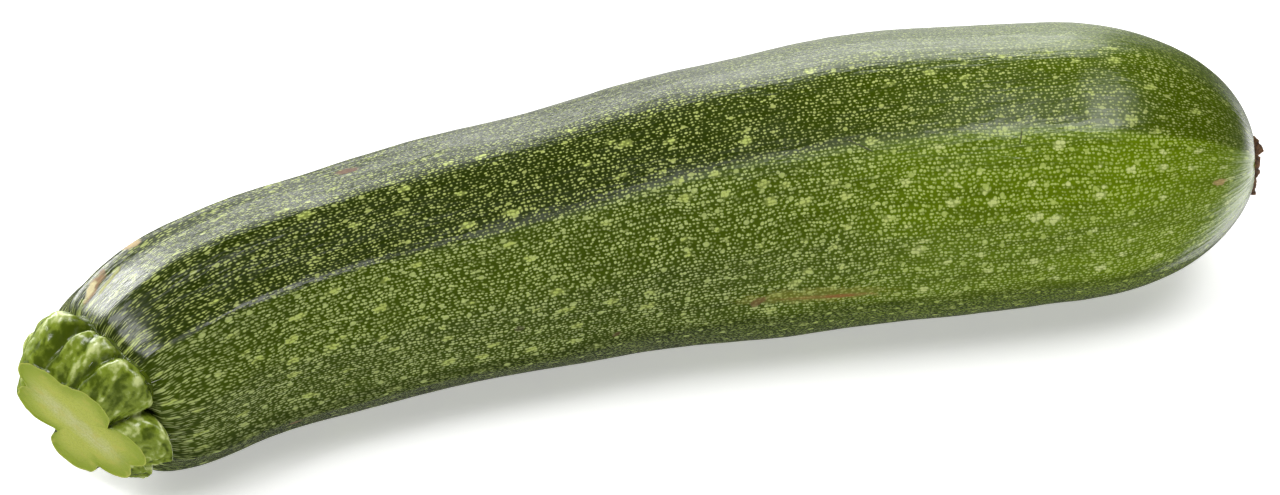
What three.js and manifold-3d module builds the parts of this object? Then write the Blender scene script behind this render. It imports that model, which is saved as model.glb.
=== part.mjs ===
// A courgette as picked: the ribbed fruit, the cut stub of its stem and the dry scar of its flower.
//
// Units are millimetres and degrees. +X runs from the stem to the blossom end and +Z is up.
// The fruit lies on z = 0, with the middle of the whole part's box over the origin.
// An angle round the fruit or the stem starts level at the front (-Y) and rises over the top.

import * as THREE from 'three';
import { mergeVertices } from 'three/addons/utils/BufferGeometryUtils.js';
import Module from 'manifold-3d';

const wasm = await Module();
wasm.setup();

const { clamp, degToRad, lerp } = THREE.MathUtils;
const UP = new THREE.Vector3(0, 0, 1);

// ---------- Driving dimensions: the fruit ----------

// Centre line seen from above: a shallow bow, with the neck hooked round towards the front.
const FRUIT_START_X = -84.2;
const FRUIT_END_X = 96.2;
const CROWN_X = -18;
const CROWN_Y = 6;
const BOW_RADIUS = 500;
const HOOK_START_X = -30.5;
const HOOK_DEPTH = 8;

// Mean radius of the body, at shares of the length from the stem end to the blossom end.
const GIRTH_STATIONS = [0, 0.15, 0.3, 0.45, 0.6, 0.75, 0.9, 1];
const GIRTH_RADII = [17.5, 17.7, 18.8, 20.3, 21.7, 22.2, 21.4, 21.2];

// Rounded ends: a shoulder that closes on the stem, and a dome that closes on the scar
// with its pole a little low and to the front.
const SHOULDER_LENGTH = 18.5;
const SHOULDER_END_RADIUS = 12;
const DOME_LENGTH = 30;
const DOME_END_RADIUS = 4.8;
const DOME_DROOP = 0.5;

// Blunt ribs along the fruit. Every other one is a main rib.
const RIB_COUNT = 10;
const RIB_CREST_ANGLE = 56;
const RIB_HEIGHT = 0.3;
const RIB_SHARPNESS = 0.25;
const MAIN_RIB_SHARE = 0.2;
const NECK_RIB_GAIN = 0.9;
const NECK_RIB_REACH = 34;
const DOME_RIB_GAIN = 0.7;

// Slow swellings of the skin: height, pitch along, place of one crest, turns round the fruit.
const SWELLINGS = [
  { height: 0.2, pitch: 33.5, crestAt: 56, crestAngle: 135, lobes: 1 },
  { height: 0.25, pitch: 77, crestAt: 118, crestAngle: -45, lobes: -2 },
];

// How the fruit lies: the middle of its underside is pressed flat, and its ends rise a little.
const REST_FLAT_DEPTH = 0.4;
const REST_CENTRE_X = 8;
const END_LIFT = 0.5;

// ---------- Driving dimensions: the stem ----------

// The stub bends from the fruit's own line to the slanted knife cut.
const STEM_CUT_CENTRE = new THREE.Vector3(-89.8, -9.2, 15.5);
const STEM_CUT_HEADING = 42.5;
const STEM_CUT_DIP = 9;
const STEM_ROOT_DEPTH = 3.4;
const STEM_ROOT_SHARE = 0.8;
const STEM_BULGE = 0.08;

// Lobes of the stub: their own radius, then angle and reach at the fruit and at the cut.
const STEM_LOBES = [
  { radius: 4, footAngle: -3, footReach: 14.6, cutAngle: 0, cutReach: 13 },
  { radius: 4.6, footAngle: 48, footReach: 15.2, cutAngle: 64, cutReach: 11.4 },
  { radius: 2.8, footAngle: 79, footReach: 14, cutAngle: 96, cutReach: 9.8 },
  { radius: 4.4, footAngle: 110, footReach: 14.6, cutAngle: 121, cutReach: 13.1 },
  { radius: 4.6, footAngle: 165, footReach: 14, cutAngle: 176, cutReach: 10.4 },
  { radius: 4.2, footAngle: 252, footReach: 14, cutAngle: 257, cutReach: 13 },
  { radius: 4.6, footAngle: 306, footReach: 12.6, cutAngle: 312, cutReach: 11.6 },
];
const LOBE_BLEND = 14;
const STEM_CORE_AT_FOOT = 11.1;
const STEM_CORE_AT_CUT = 6.2;

// ---------- Driving dimensions: the blossom scar ----------

const SCAR_RADIUS = 4.6;
const SCAR_DROP = 1.2;
const SCAR_HEIGHT = 1.2;
const SCAR_ROOT_DEPTH = 1.2;
const SCAR_LOBES = 5;
const SCAR_LOBE_DEPTH = 0.5;
const SCAR_HOLLOW = 0.4;

// ---------- Fit and facets ----------

const CLEARANCE = 0.3;
const FRUIT_STEPS_ALONG = 52;
const FRUIT_STEPS_ROUND = 70;
const STEM_STEPS_ALONG = 9;
const STEM_STEPS_ROUND = 84;
const SCAR_STEPS_ROUND = 30;

// ---------- Solids ----------

// Rings of points, each going anticlockwise as seen from the last ring, closed at both ends.
function loft(rings) {
  const around = rings[0].length;
  const points = rings.flat();
  const triangles = [];
  for (let ring = 0; ring + 1 < rings.length; ring += 1) {
    for (let step = 0; step < around; step += 1) {
      const here = ring * around + step;
      const beside = ring * around + ((step + 1) % around);
      triangles.push(here, beside, beside + around);
      triangles.push(here, beside + around, here + around);
    }
  }
  const closeEnd = (ring, start) => {
    const centre = new THREE.Vector3();
    ring.forEach((point) => centre.addScaledVector(point, 1 / around));
    points.push(centre);
    for (let step = 0; step < around; step += 1) {
      const here = start + step;
      const beside = start + ((step + 1) % around);
      triangles.push(points.length - 1, ...(start === 0 ? [beside, here] : [here, beside]));
    }
  };
  closeEnd(rings[0], 0);
  closeEnd(rings[rings.length - 1], (rings.length - 1) * around);
  const geometry = new THREE.BufferGeometry().setFromPoints(points);
  geometry.setIndex(triangles);
  return geometry;
}

// The same geometry with every point moved out along its normal.
function grown(geometry, distance) {
  const larger = geometry.clone();
  larger.computeVertexNormals();
  const place = larger.getAttribute('position');
  const normal = larger.getAttribute('normal');
  const point = new THREE.Vector3();
  const outward = new THREE.Vector3();
  for (let index = 0; index < place.count; index += 1) {
    point.fromBufferAttribute(place, index);
    outward.fromBufferAttribute(normal, index);
    point.addScaledVector(outward, distance);
    place.setXYZ(index, point.x, point.y, point.z);
  }
  return larger;
}

function toSolid(geometry) {
  const bare = geometry.clone();
  bare.deleteAttribute('normal');
  bare.deleteAttribute('uv');
  const merged = mergeVertices(bare);
  return new wasm.Manifold(new wasm.Mesh({
    numProp: 3,
    vertProperties: new Float32Array(merged.getAttribute('position').array),
    triVerts: new Uint32Array(merged.index.array),
  }));
}

function toGeometry(solid) {
  const mesh = solid.getMesh();
  const geometry = new THREE.BufferGeometry();
  geometry.setAttribute('position', new THREE.BufferAttribute(mesh.vertProperties, 3));
  geometry.setIndex(new THREE.BufferAttribute(mesh.triVerts, 1));
  geometry.computeVertexNormals();
  return geometry;
}

// ---------- The fruit ----------

class CentreLine extends THREE.Curve {
  getPoint(share, target = new THREE.Vector3()) {
    const x = lerp(FRUIT_START_X, FRUIT_END_X, share);
    const hook = Math.max(0, (HOOK_START_X - x) / (HOOK_START_X - FRUIT_START_X));
    const bow = (x - CROWN_X) ** 2 / (2 * BOW_RADIUS);
    return target.set(x, CROWN_Y - bow - HOOK_DEPTH * hook ** 3, 0);
  }
}

const centreLine = new CentreLine();
const fruitLength = centreLine.getLength();
const girth = new THREE.CubicInterpolant(GIRTH_STATIONS, GIRTH_RADII, 1);

// A quarter of an ellipse: 0 at its start, 1 at its pole.
function roundedOff(share) {
  return Math.sqrt(1 - clamp(share, 0, 1) ** 2);
}

function bodyRadius(distance) {
  const mean = girth.evaluate(clamp(distance / fruitLength, 0, 1))[0];
  const poleShare = Math.sqrt(1 - (DOME_END_RADIUS / mean) ** 2);
  const domeStart = fruitLength - DOME_LENGTH * poleShare;
  const domed = mean * roundedOff((distance - domeStart) / DOME_LENGTH);
  const shoulderShare = 1 - distance / SHOULDER_LENGTH;
  return lerp(SHOULDER_END_RADIUS, domed, roundedOff(shoulderShare));
}

function ribRelief(distance, angle) {
  const turn = angle - degToRad(RIB_CREST_ANGLE);
  const wave = Math.cos(RIB_COUNT * turn) + RIB_SHARPNESS * Math.cos(2 * RIB_COUNT * turn);
  const main = 1 + MAIN_RIB_SHARE * Math.cos((RIB_COUNT / 2) * turn);
  const neck = NECK_RIB_GAIN * Math.exp(-((distance / NECK_RIB_REACH) ** 2));
  const dome = DOME_RIB_GAIN * Math.exp(-(((fruitLength - distance) / DOME_LENGTH) ** 2));
  return RIB_HEIGHT * wave * main * (1 + neck + dome);
}

function swellingRelief(distance, angle) {
  const restFade = 1 - Math.max(0, -Math.sin(angle)) ** 6;
  return SWELLINGS.reduce((sum, { height, pitch, crestAt, crestAngle, lobes }) => {
    const along = (2 * Math.PI * (distance - crestAt)) / pitch;
    const round = lobes * (angle - degToRad(crestAngle));
    return sum + restFade * height * Math.cos(along + round);
  }, 0);
}

function fruitCentre(distance) {
  const centre = centreLine.getPointAt(distance / fruitLength);
  const mean = girth.evaluate(distance / fruitLength)[0];
  const lift = END_LIFT * ((centre.x - REST_CENTRE_X) / (FRUIT_END_X - REST_CENTRE_X)) ** 2;
  centre.z = mean + RIB_HEIGHT - REST_FLAT_DEPTH + lift;
  const droop = DOME_DROOP * clamp(1 - (fruitLength - distance) / DOME_LENGTH, 0, 1) ** 6;
  const front = centreLine.getTangentAt(distance / fruitLength).cross(UP);
  return centre.addScaledVector(front.sub(UP).normalize(), droop);
}

function fruitRing(distance) {
  const centre = fruitCentre(distance);
  const along = centreLine.getTangentAt(distance / fruitLength);
  const front = along.clone().cross(UP);
  const radius = bodyRadius(distance);
  const fade = radius / girth.evaluate(distance / fruitLength)[0];
  return Array.from({ length: FRUIT_STEPS_ROUND }, (_, step) => {
    const angle = (2 * Math.PI * step) / FRUIT_STEPS_ROUND;
    const relief = ribRelief(distance, angle) + swellingRelief(distance, angle);
    const reach = radius + fade * relief;
    return centre.clone()
      .addScaledVector(front, reach * Math.cos(angle))
      .addScaledVector(UP, reach * Math.sin(angle));
  });
}

// Rings from the blossom end to the stem end, closer together towards both ends.
function fruitGeometry() {
  const rings = [];
  for (let step = FRUIT_STEPS_ALONG; step >= 0; step -= 1) {
    const even = step / FRUIT_STEPS_ALONG;
    const bunched = (1 - Math.cos(Math.PI * even)) / 2;
    rings.push(fruitRing(fruitLength * lerp(even, bunched, 0.75)));
  }
  return loft(rings);
}

// The ground that the fruit's underside is pressed flat against.
function groundSolid() {
  const thickness = 10;
  const slab = new THREE.BoxGeometry(300, 100, thickness);
  slab.translate(0, 0, -thickness / 2);
  return toSolid(slab);
}

// ---------- The stem ----------

const stemFoot = fruitCentre(0);
const stemOutward = centreLine.getTangentAt(0).negate();

function stemCutNormal() {
  const heading = degToRad(STEM_CUT_HEADING);
  const dip = degToRad(STEM_CUT_DIP);
  return new THREE.Vector3(
    -Math.cos(heading) * Math.cos(dip),
    -Math.sin(heading) * Math.cos(dip),
    -Math.sin(dip),
  );
}

// Lobes are circles whose outer edge is at their reach, blended with a round core.
function stemRadius(angle, along) {
  const share = clamp(along, 0, 1);
  const core = lerp(STEM_CORE_AT_FOOT, STEM_CORE_AT_CUT, share);
  let sum = core ** LOBE_BLEND;
  STEM_LOBES.forEach(({ radius, footAngle, footReach, cutAngle, cutReach }) => {
    const turn = angle - degToRad(lerp(footAngle, cutAngle, share));
    const offset = lerp(footReach, cutReach, share) - radius;
    const side = offset * Math.sin(turn);
    if (Math.cos(turn) > 0 && Math.abs(side) < radius) {
      const edge = offset * Math.cos(turn) + Math.sqrt(radius ** 2 - side ** 2);
      sum += edge ** LOBE_BLEND;
    }
  });
  const bulge = 1 + STEM_BULGE * Math.sin(Math.PI * share);
  const root = along < 0 ? STEM_ROOT_SHARE : 1;
  return root * bulge * sum ** (1 / LOBE_BLEND);
}

function stemRing(along) {
  const share = clamp(along, 0, 1);
  const bend = new THREE.QuadraticBezierCurve3(
    stemFoot,
    stemFoot.clone().addScaledVector(stemOutward, stemFoot.distanceTo(STEM_CUT_CENTRE) / 2),
    STEM_CUT_CENTRE,
  );
  const centre = bend.getPoint(share);
  if (along < 0) {
    centre.addScaledVector(stemOutward, -STEM_ROOT_DEPTH);
  }
  const normal = stemOutward.clone().lerp(stemCutNormal(), share).normalize();
  const front = UP.clone().cross(normal).normalize();
  const rise = normal.clone().cross(front);
  return Array.from({ length: STEM_STEPS_ROUND }, (_, step) => {
    const angle = (2 * Math.PI * step) / STEM_STEPS_ROUND;
    const reach = stemRadius(angle, along);
    return centre.clone()
      .addScaledVector(front, reach * Math.cos(angle))
      .addScaledVector(rise, reach * Math.sin(angle));
  });
}

function stemGeometry() {
  const rings = [stemRing(-1)];
  for (let step = 0; step <= STEM_STEPS_ALONG; step += 1) {
    rings.push(stemRing(step / STEM_STEPS_ALONG));
  }
  return loft(rings);
}

// ---------- The blossom scar ----------

function scarRing(radius, height) {
  const centre = fruitCentre(fruitLength);
  const along = centreLine.getTangentAt(1);
  const front = UP.clone().cross(along);
  centre.addScaledVector(along, height).addScaledVector(UP, -SCAR_DROP);
  return Array.from({ length: SCAR_STEPS_ROUND }, (_, step) => {
    const angle = (2 * Math.PI * step) / SCAR_STEPS_ROUND;
    const reach = radius + SCAR_LOBE_DEPTH * Math.cos(SCAR_LOBES * angle);
    return centre.clone()
      .addScaledVector(front, reach * Math.cos(angle))
      .addScaledVector(UP, reach * Math.sin(angle));
  });
}

// A lobed crust that is thickest in a ring inside its rim and sunken in the middle.
function scarGeometry() {
  return loft([
    scarRing(0.9 * SCAR_RADIUS, -SCAR_ROOT_DEPTH),
    scarRing(SCAR_RADIUS, 0.25 * SCAR_HEIGHT),
    scarRing(0.85 * SCAR_RADIUS, 0.8 * SCAR_HEIGHT),
    scarRing(0.6 * SCAR_RADIUS, SCAR_HEIGHT),
    scarRing(0.3 * SCAR_RADIUS, SCAR_HEIGHT - SCAR_HOLLOW),
  ]);
}

// ---------- The part ----------

const skin = new THREE.MeshStandardMaterial({ color: 0x3d5a16, roughness: 0.32, metalness: 0 });
const stemSkin = new THREE.MeshStandardMaterial({ color: 0x6f9238, roughness: 0.55, metalness: 0 });
const dryCrust = new THREE.MeshStandardMaterial({ color: 0x5a3d22, roughness: 0.9, metalness: 0 });

function piece(name, solid, material) {
  const mesh = new THREE.Mesh(toGeometry(solid), material);
  mesh.name = name;
  return mesh;
}

const fruitShape = fruitGeometry();
const fruitRoom = toSolid(grown(fruitShape, CLEARANCE));

const courgette = new THREE.Group();
courgette.add(piece('fruit', toSolid(fruitShape).subtract(groundSolid()), skin));
courgette.add(piece('stem', toSolid(stemGeometry()).subtract(fruitRoom), stemSkin));
courgette.add(piece('blossom_scar', toSolid(scarGeometry()).subtract(fruitRoom), dryCrust));

const middle = new THREE.Box3().setFromObject(courgette).getCenter(new THREE.Vector3());
courgette.position.set(-middle.x, -middle.y, 0);

export default courgette;
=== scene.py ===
"""The looks of a courgette: ribbed speckled skin, cut stem stub and dry blossom scar.

Lengths are metres. +X runs from the stem to the blossom end and +Z is up.
An angle round the fruit or the stem starts level at the front (-Y) and rises over the top.
"""

import math

import bmesh
import bpy
import numpy as np
from mathutils import Matrix, Vector, noise


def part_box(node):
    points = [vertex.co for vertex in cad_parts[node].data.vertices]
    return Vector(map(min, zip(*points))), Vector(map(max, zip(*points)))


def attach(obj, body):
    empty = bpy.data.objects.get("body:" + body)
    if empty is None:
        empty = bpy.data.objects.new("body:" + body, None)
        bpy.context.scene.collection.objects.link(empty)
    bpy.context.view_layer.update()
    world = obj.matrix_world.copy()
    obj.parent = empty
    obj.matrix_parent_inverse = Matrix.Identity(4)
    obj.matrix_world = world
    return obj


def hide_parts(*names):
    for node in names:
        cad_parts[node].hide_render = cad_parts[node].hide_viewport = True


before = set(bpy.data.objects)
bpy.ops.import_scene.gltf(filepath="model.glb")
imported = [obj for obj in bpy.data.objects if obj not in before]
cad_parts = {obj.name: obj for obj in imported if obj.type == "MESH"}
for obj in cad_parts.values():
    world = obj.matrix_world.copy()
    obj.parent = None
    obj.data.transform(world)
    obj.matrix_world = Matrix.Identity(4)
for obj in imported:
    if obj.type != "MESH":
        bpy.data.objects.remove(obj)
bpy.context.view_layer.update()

MM = 0.001
UP = Vector((0, 0, 1))

# ---------- The shape of the fruit ----------

# The centre line is a wide arc round its crown, and hooks to the front near the stem.
FRUIT_START_X = -84.2 * MM
FRUIT_END_X = 96.2 * MM
CROWN_X = -18 * MM
CROWN_Y = 6 * MM
BOW_RADIUS = 500 * MM
HOOK_START_X = -30.5 * MM
HOOK_DEPTH = 8 * MM
# Mean radius in mm at shares of the centre line's length.
GIRTH_STATIONS = (0, 0.15, 0.3, 0.45, 0.6, 0.75, 0.9, 1)
GIRTH_RADII = (17.5, 17.7, 18.8, 20.3, 21.7, 22.2, 21.4, 21.2)
# The fruit rests on a flat worn into its underside, and its ends lift a little.
REST_FLAT_DEPTH = 0.4 * MM
REST_CENTRE_X = 8 * MM
END_LIFT = 0.5 * MM
RIB_HEIGHT = 0.3 * MM
# Slow swellings of the skin: height and pitch in mm, one crest's place along in mm and round
# in degrees, and turns round the fruit.
SWELLINGS = (
    (0.2, 33.5, 56, 135, 1),
    (0.25, 77, 118, -45, -2),
)
# The blossom end's pole droops, as far to the front as it does down.
DOME_DROOP = 0.5 * MM
DROOP_SLANT = 0.707

# Points closer than this are sewn together, in the fruit and in the lofted pieces.
SEWING_DISTANCE = 1e-6
LOFT_SEWING_DISTANCE = 1e-7

# ---------- The shape of the stem ----------

STEM_CUT_CENTRE = Vector((-89.8, -9.2, 15.5)) * MM
STEM_CUT_HEADING = math.radians(42.5)
STEM_CUT_DIP = math.radians(9)
STEM_ROOT_DEPTH = 3.4 * MM
STEM_BULGE = 0.08
# Lobes: their own radius, then angle and reach at the fruit and at the cut, in mm and degrees.
STEM_LOBES = (
    (4, -3, 14.6, 0, 13),
    (4.6, 48, 15.2, 64, 11.4),
    (2.8, 79, 14, 96, 9.8),
    (4.4, 110, 14.6, 121, 13.1),
    (4.6, 165, 14, 176, 10.4),
    (4.2, 252, 14, 257, 13),
    (4.6, 306, 12.6, 312, 11.6),
)
# Folds between lobes: angle at the fruit and at the cut, and depth, in degrees and mm.
STEM_FOLDS = (
    (96, 109, 1.6),
    (65, 81, 1.4),
    (22, 32, 0.8),
    (137, 148, 1.0),
    (208, 216, 0.8),
    (280, 284, 0.8),
    (332, 336, 0.8),
)
LOBE_BLEND = 14
STEM_CORE_AT_FOOT = 11.1 * MM
STEM_CORE_AT_CUT = 6.2 * MM

# ---------- Small helpers ----------


def lerp(a, b, share):
    return a + (b - a) * share


def display(red, green, blue):
    """The colour that shows as these 0-255 levels on a screen."""
    levels = [level / 255 for level in (red, green, blue)]
    return [l / 12.92 if l < 0.04045 else ((l + 0.055) / 1.055) ** 2.4 for l in levels] + [1]


def direction(azimuth, elevation):
    """A unit vector, from an angle round from the front (-Y) and an angle up from level."""
    return Vector((
        math.sin(azimuth) * math.cos(elevation),
        -math.cos(azimuth) * math.cos(elevation),
        math.sin(elevation),
    ))


def noise_round(angle, reach, height):
    """Noise from -1 to 1 that closes on itself round a circle."""
    return noise.noise(Vector((math.cos(angle) * reach, math.sin(angle) * reach, height)))


def enabled(sockets, name):
    """The socket of that name that the node's settings leave in use."""
    return next(s for s in sockets if s.name == name and s.enabled)


class Wire:
    """An output socket that can be used in a formula."""

    def __init__(self, graph, socket):
        self.graph = graph
        self.socket = socket

    def __add__(self, other):
        return self.graph.math("ADD", self, other)

    def __radd__(self, other):
        return self.graph.math("ADD", other, self)

    def __sub__(self, other):
        return self.graph.math("SUBTRACT", self, other)

    def __rsub__(self, other):
        return self.graph.math("SUBTRACT", other, self)

    def __mul__(self, other):
        return self.graph.math("MULTIPLY", self, other)

    def __rmul__(self, other):
        return self.graph.math("MULTIPLY", other, self)

    def __truediv__(self, other):
        return self.graph.math("DIVIDE", self, other)

    def __rtruediv__(self, other):
        return self.graph.math("DIVIDE", other, self)

    def __pow__(self, other):
        return self.graph.math("POWER", self, other)


class Graph:
    """Builds a node tree from formulas."""

    def __init__(self, tree):
        self.tree = tree

    def put(self, socket, value):
        if isinstance(value, Wire):
            self.tree.links.new(value.socket, socket)
        else:
            socket.default_value = value

    def node(self, kind, inputs=None, **settings):
        made = self.tree.nodes.new(kind)
        for name, value in settings.items():
            setattr(made, name, value)
        for name, value in (inputs or {}).items():
            self.put(made.inputs[name], value)
        return made

    def out(self, node, name):
        return Wire(self, enabled(node.outputs, name))

    def math(self, operation, *values):
        made = self.node("ShaderNodeMath", operation=operation)
        for socket, value in zip(made.inputs, values):
            self.put(socket, value)
        return self.out(made, "Value")

    def clamped(self, value):
        return self.math("MAXIMUM", self.math("MINIMUM", value, 1), 0)

    def vector_math(self, operation, *values):
        made = self.node("ShaderNodeVectorMath", operation=operation)
        sockets = [s for s in made.inputs if s.enabled]
        for socket, value in zip(sockets, values):
            self.put(socket, value)
        return self.out(made, "Vector")

    def scaled(self, vector, factor):
        made = self.node("ShaderNodeVectorMath", {0: vector, "Scale": factor}, operation="SCALE")
        return self.out(made, "Vector")

    def dot(self, first, second):
        made = self.node("ShaderNodeVectorMath", {0: first, 1: second}, operation="DOT_PRODUCT")
        return self.out(made, "Value")

    def combine(self, x=0.0, y=0.0, z=0.0):
        return self.out(self.node("ShaderNodeCombineXYZ", {"X": x, "Y": y, "Z": z}), "Vector")

    def separate(self, vector):
        made = self.node("ShaderNodeSeparateXYZ", {"Vector": vector})
        return [self.out(made, axis) for axis in "XYZ"]

    def smooth(self, value, low, high, at_low=0.0, at_high=1.0):
        made = self.node("ShaderNodeMapRange", {
            "Value": value, "From Min": low, "From Max": high, "To Min": at_low, "To Max": at_high,
        }, interpolation_type="SMOOTHSTEP")
        return self.out(made, "Result")

    def noise(self, vector, scale, detail=2.0, roughness=0.5, distortion=0.0):
        made = self.node("ShaderNodeTexNoise", {
            "Vector": vector, "Scale": scale, "Detail": detail,
            "Roughness": roughness, "Distortion": distortion,
        })
        return self.out(made, "Fac")

    def blend(self, share, first, second):
        made = self.node("ShaderNodeMix", data_type="RGBA")
        self.put(made.inputs["Factor"], share)
        for name, value in (("A", first), ("B", second)):
            self.put(enabled(made.inputs, name), value)
        return self.out(made, "Result")

    def after(self, flow, kind, **inputs):
        """The geometry after one more node, whose other inputs are named with _ for a space."""
        values = {name.replace("_", " "): value for name, value in inputs.items()}
        return self.out(self.node(kind, {"Geometry": flow, **values}), "Geometry")

    def finish(self, flow, surface):
        """Ends a node group: real geometry with its material."""
        flow = self.after(flow, "GeometryNodeRealizeInstances")
        flow = self.after(flow, "GeometryNodeSetMaterial", Material=surface)
        self.put(self.node("NodeGroupOutput").inputs["Geometry"], flow)

    def bump(self, shader, height, distance, strength):
        """Gives a shader fine relief, on top of the relief of its mesh."""
        made = self.node("ShaderNodeBump", {
            "Strength": strength, "Distance": distance, "Height": height,
        })
        self.put(shader.inputs["Normal"], self.out(made, "Normal"))


def material(name):
    made = bpy.data.materials.new(name)
    made.use_nodes = True
    graph = Graph(made.node_tree)
    return made, graph, made.node_tree.nodes["Principled BSDF"]


# ---------- Skin material ----------

# Places along the skin are in mm from the stem end. Spots have a pitch along the skin in mm
# and a number of rows round it.
SKIN_LENGTH = 184
NECK_FADE = 22
MM_PER_DEGREE = 0.35
SPECKLE_PITCH = 0.64
SPECKLE_ROWS = 250
DROP_PITCH = 3.4
DROP_ROWS = 48
PATCH_PITCH = 5.6
PATCH_ROWS = 38
# Far enough apart that the spots of two rows have nothing to do with each other.
ROW_OFFSET = 57.3

DARK_GREEN = display(38, 50, 2)
MID_GREEN = display(66, 83, 10)
YELLOW_GREEN = display(104, 130, 4)
DARK_SIDE_SPECKLE = display(176, 186, 108)
PALE_SPECKLE = display(184, 197, 124)
BLOSSOM_SPECKLE = display(180, 199, 84)
YOUNG_BLOTCH = display(178, 192, 98)
PALE_BLOTCH = display(206, 216, 140)


def cells(graph, along, across):
    """Distance from the middle of the nearest cell, and three random numbers of that cell."""
    made = graph.node("ShaderNodeTexVoronoi", {
        "Vector": graph.combine(along, across), "Scale": 1.0, "Randomness": 1.0,
    }, voronoi_dimensions="2D")
    return [graph.out(made, "Distance")] + graph.separate(graph.out(made, "Color"))


def threaded(graph, along, across, pull):
    """Spots threaded on rows, drawn out along them as pull falls below 1.

    Gives the distance from the nearest spot's middle, three random numbers of that spot,
    and the boldness of its row.
    """
    row = graph.math("FLOOR", across)
    made = graph.node("ShaderNodeTexVoronoi", {
        "W": along + row * ROW_OFFSET, "Scale": 1.0, "Randomness": 1.0,
    }, voronoi_dimensions="1D")
    first, second, third = graph.separate(graph.out(made, "Color"))
    lengthways = graph.out(made, "Distance")
    sideways = across - row - 0.5 + 0.42 * (third - 0.5)
    bold = graph.noise(graph.combine(along * 0.12, row * 3.7), 1, 2, 0.6)
    reach = graph.math("SQRT", lengthways * lengthways * pull + sideways * sideways)
    return reach, first, second, third, bold


# Healed scars and bruises: place along in mm and round in degrees, half length and half width
# in mm, lean in degrees, strength and colour.
MARKS = (
    (44.6, 116, 2.2, 0.8, -12, 0.85, display(96, 54, 28)),
    (5.0, 119.5, 3.0, 1.2, 22, 0.8, display(140, 104, 60)),
    (4.2, 119.5, 1.9, 0.8, 22, 1.0, display(206, 196, 152)),
    (6.5, 114, 3.4, 0.5, 18, 0.7, display(150, 150, 50)),
    (12.8, 125.5, 1.3, 1.5, 40, 0.9, display(176, 150, 104)),
    (111, -3.0, 14, 1.5, -5, 0.35, display(156, 152, 22)),
    (113, -4.6, 9, 0.4, -5, 0.55, display(150, 112, 40)),
    (102, -2.4, 1.7, 0.8, 30, 0.75, display(120, 84, 34)),
    (115, -5.4, 2.6, 0.35, -6, 0.6, display(150, 84, 40)),
    (26, -30, 1.5, 1.2, 10, 0.9, display(150, 116, 78)),
    (25, -29.5, 0.7, 0.6, 60, 0.9, display(86, 56, 34)),
    (63.8, 7.3, 0.9, 0.6, 0, 0.6, display(70, 56, 22)),
    (79.5, -9.2, 0.8, 0.5, 20, 0.5, display(110, 76, 34)),
    (177, 28.4, 1.3, 0.9, 0, 0.6, display(206, 160, 110)),
    (120, 59, 2.6, 0.12, -32, 0.8, display(44, 40, 14)),
    (145, 56, 0.12, 1.3, -14, 0.8, display(52, 46, 18)),
    (88, 205, 2.4, 1.4, 15, 0.8, display(150, 126, 82)),
    (140, 232, 5.5, 0.5, -8, 0.7, display(150, 120, 70)),
    (58, 172, 1.1, 0.8, 30, 0.8, display(128, 88, 50)),
)


def marked(graph, colour, along, angle, position):
    """The colour with every mark laid over it, and how far each place is scarred."""
    ragged = graph.noise(position, 900, 3) - 0.5
    grain = graph.noise(position, 3200, 3, 0.7)
    scarred = 0.0
    for at, round_at, long_half, wide_half, lean, strength, tint in MARKS:
        run = along - at
        rise = (angle - round_at) * MM_PER_DEGREE
        lean = math.radians(lean)
        lengthways = (run * math.cos(lean) + rise * math.sin(lean)) / long_half
        sideways = (rise * math.cos(lean) - run * math.sin(lean)) / wide_half
        reach = graph.math("SQRT", lengthways * lengthways + sideways * sideways)
        spot = graph.smooth(reach + 1.3 * ragged, 1.1, 0.6, 0, strength) * (0.35 + 1.2 * grain)
        colour = graph.blend(spot, colour, tint)
        scarred = spot + scarred
    return colour, scarred


def rib_line(graph, along):
    """The angle of the front rib's crest, in degrees, at a distance along the skin in mm."""
    last = graph.math("MAXIMUM", 0, (along - 135) / 45)
    return 54.3 + graph.smooth(along, 60, 105, 0, 5.7) - 10 * last * last


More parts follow.
